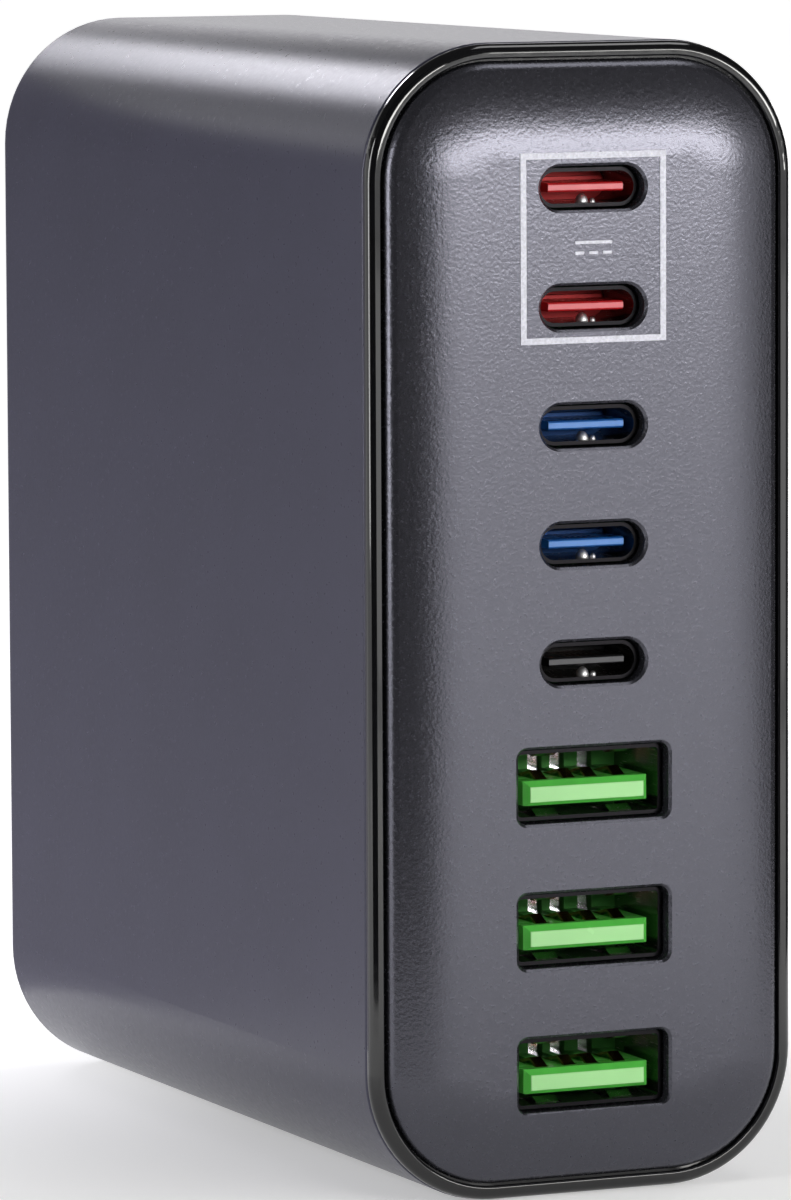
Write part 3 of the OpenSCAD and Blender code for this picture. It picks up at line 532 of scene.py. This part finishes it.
def floor_white():
    """Pale matt floor. Camera, glossy and transmission rays see it brought up to white far from the
    object and held lower near it, painted shade round its foot; the object's shadow stays on it."""
    material = bpy.data.materials.new("floor_white")
    material.use_nodes = True
    tree = material.node_tree
    tree.nodes.clear()
    make, link = tree.nodes.new, tree.links.new
    coords, path = make("ShaderNodeTexCoord"), make("ShaderNodeLightPath")
    away = make("ShaderNodeVectorMath")
    away.operation = "DISTANCE"
    away.inputs[1].default_value = (0.006, -0.03, 0)
    link(coords.outputs["Object"], away.inputs[0])
    # Painted shade: the glow is lower near the object, a darker floor round its foot.
    glow_past_painted_shade = make("ShaderNodeMapRange")
    glow_past_painted_shade.interpolation_type = "SMOOTHSTEP"
    for label, value in (("From Min", 0.03), ("From Max", 0.12), ("To Min", 0.38),
                         ("To Max", 0.96)):
        glow_past_painted_shade.inputs[label].default_value = value
    link(away.outputs["Value"], glow_past_painted_shade.inputs["Value"])
    rays = path.outputs["Is Camera Ray"]
    for label in ("Is Glossy Ray", "Is Transmission Ray"):
        both = make("ShaderNodeMath")
        both.operation = "MAXIMUM"
        link(rays, both.inputs[0])
        link(path.outputs[label], both.inputs[1])
        rays = both.outputs[0]
    level = make("ShaderNodeMath")
    level.operation = "MULTIPLY"
    link(rays, level.inputs[0])
    link(glow_past_painted_shade.outputs[0], level.inputs[1])
    glow, matt = make("ShaderNodeEmission"), make("ShaderNodeBsdfDiffuse")
    add, out = make("ShaderNodeAddShader"), make("ShaderNodeOutputMaterial")
    matt.inputs["Color"].default_value = (0.8, 0.8, 0.8, 1)
    link(level.outputs[0], glow.inputs["Strength"])
    link(glow.outputs[0], add.inputs[0])
    link(matt.outputs[0], add.inputs[1])
    link(add.outputs[0], out.inputs["Surface"])
    return material


# ---------------------------------------------------------------- light

def softbox(name, middle, aim, size, watts, colour=(1, 1, 1)):
    """Rectangular lamp (places in mm) that faces `aim`, not seen by the camera itself."""
    lamp = bpy.data.lights.new(name, "AREA")
    lamp.shape = "RECTANGLE"
    lamp.size, lamp.size_y = size[0] * MM, size[1] * MM
    lamp.energy, lamp.color = watts, colour
    holder = bpy.data.objects.new(name, lamp)
    bpy.context.collection.objects.link(holder)
    back = np.array(middle, float) - np.array(aim, float)
    back /= np.linalg.norm(back)
    side = np.cross([0, 0, 1], back)
    side /= np.linalg.norm(side)
    pose = np.eye(4)
    pose[:3, 0], pose[:3, 1], pose[:3, 2] = side, np.cross(back, side), back
    pose[:3, 3] = np.array(middle) * MM
    holder.matrix_world = Matrix(pose.tolist())
    holder.visible_camera = False


def set_world():
    """Dim studio: an even grey, darker overhead, with a pale glow low down behind the object."""
    world = bpy.data.worlds.new("studio")
    bpy.context.scene.world = world
    world.use_nodes = True
    tree = world.node_tree
    make, link = tree.nodes.new, tree.links.new
    coords, split = make("ShaderNodeTexCoord"), make("ShaderNodeSeparateXYZ")
    link(coords.outputs["Generated"], split.inputs[0])

    def span(source, low, high, to_low, to_high):
        ranged = make("ShaderNodeMapRange")
        ranged.interpolation_type = "SMOOTHSTEP"
        for label, value in (("From Min", low), ("From Max", high), ("To Min", to_low),
                             ("To Max", to_high)):
            ranged.inputs[label].default_value = value
        link(source, ranged.inputs["Value"])
        return ranged.outputs[0]

    def joined_by(kind, one, two):
        joined = make("ShaderNodeMath")
        joined.operation = kind
        link(one, joined.inputs[0])
        link(two, joined.inputs[1])
        return joined.outputs[0]

    glow = joined_by("MULTIPLY", span(split.outputs["Y"], 0.2, 0.85, 0, 1.15),
                     span(split.outputs["Z"], 0.1, 0.45, 1, 0))
    room = span(split.outputs["Z"], 0.05, 0.6, 0.12, 0.06)
    back = tree.nodes["Background"]
    back.inputs["Color"].default_value = (1, 1, 1, 1)
    link(joined_by("ADD", glow, room), back.inputs["Strength"])


def screen(name, start, end, low, high, reach, colour, glow=(0, 0)):
    """Curved screen beside the object, not seen by the camera itself. A point of it stands at
    `reach` mm in a bearing between start and end (degrees to the right of the front), low to high
    mm up. It can be lit from behind, from one strength at its foot to another at its top."""
    rows, count = 5, 25
    bearing = np.radians(np.linspace(start, end, count))
    height = np.linspace(low, high, rows)
    grid = np.stack([np.repeat([reach * np.sin(bearing)], rows, 0),
                     np.repeat([-reach * np.cos(bearing)], rows, 0),
                     np.repeat(height[:, None], count, 1)], -1) * MM
    k = (np.arange(rows - 1)[:, None] * count + np.arange(count - 1)).ravel()
    above = k + count
    sheet = new_mesh(name, grid, np.stack([k, k + 1, above + 1, above], 1).tolist())
    matt = Finish(name, colour, 0.9, Emission_Color=srgb(247, 245, 255))
    matt.tint(matt.grain(6.0), 0.95, 1.05)
    if max(glow):
        matt.link(matt.along("Z", low * MM, high * MM, *glow),
                  matt.shader.inputs["Emission Strength"])
    sheet.data.materials.append(matt.material)
    sheet.visible_camera = sheet.visible_shadow = False


def set_screens():
    """Dark screens that shade the sides of the front, and a pale one that the left wall mirrors."""
    screen("screen_front_left", -54, -6, 0, 220, 150, (24, 24, 26))
    screen("screen_right", 54, 100, 0, 220, 150, (24, 24, 26))
    screen("screen_back_left", -168, -104, 0, 96, 62, (110, 108, 130), (0.6, 0.22))


def set_lights():
    """Softboxes in front for the panel's band of light, behind for the case's top edge, and a strip
    on each side."""
    softbox("front_upper", (122, -330, 112), (0, -41, 84), (276, 44), 0.64, (1, 0.985, 0.955))
    softbox("front_lower", (150, -325, 30), (0, -41, 40), (320, 50), 0.05)
    softbox("back_left", (-58, 480, 330), (-10, 0, 90), (176, 60), 0.37, (0.96, 0.95, 1))
    softbox("back_low", (245, 550, 220), (0, 0, 90), (320, 110), 0.09, (0.95, 0.92, 1))
    softbox("left_strip", (-290, -90, 110), (-10, -41, 70), (60, 170), 0.28)
    softbox("right_strip", (290, 110, 70), (10, -41, 50), (60, 170), 0.3)
    softbox("overhead", (155, -60, 420), (0, -41, 50), (160, 130), 0.2)


# ---------------------------------------------------------------- the scene

set_camera()
finishes = dress_nodes()
sign_bars(finishes["print_pale"])
shell_bumps(finishes["spring_tin"])
studio_floor(floor_white())
set_screens()
set_lights()
set_world()
bpy.context.scene.view_settings.view_transform = "Standard"
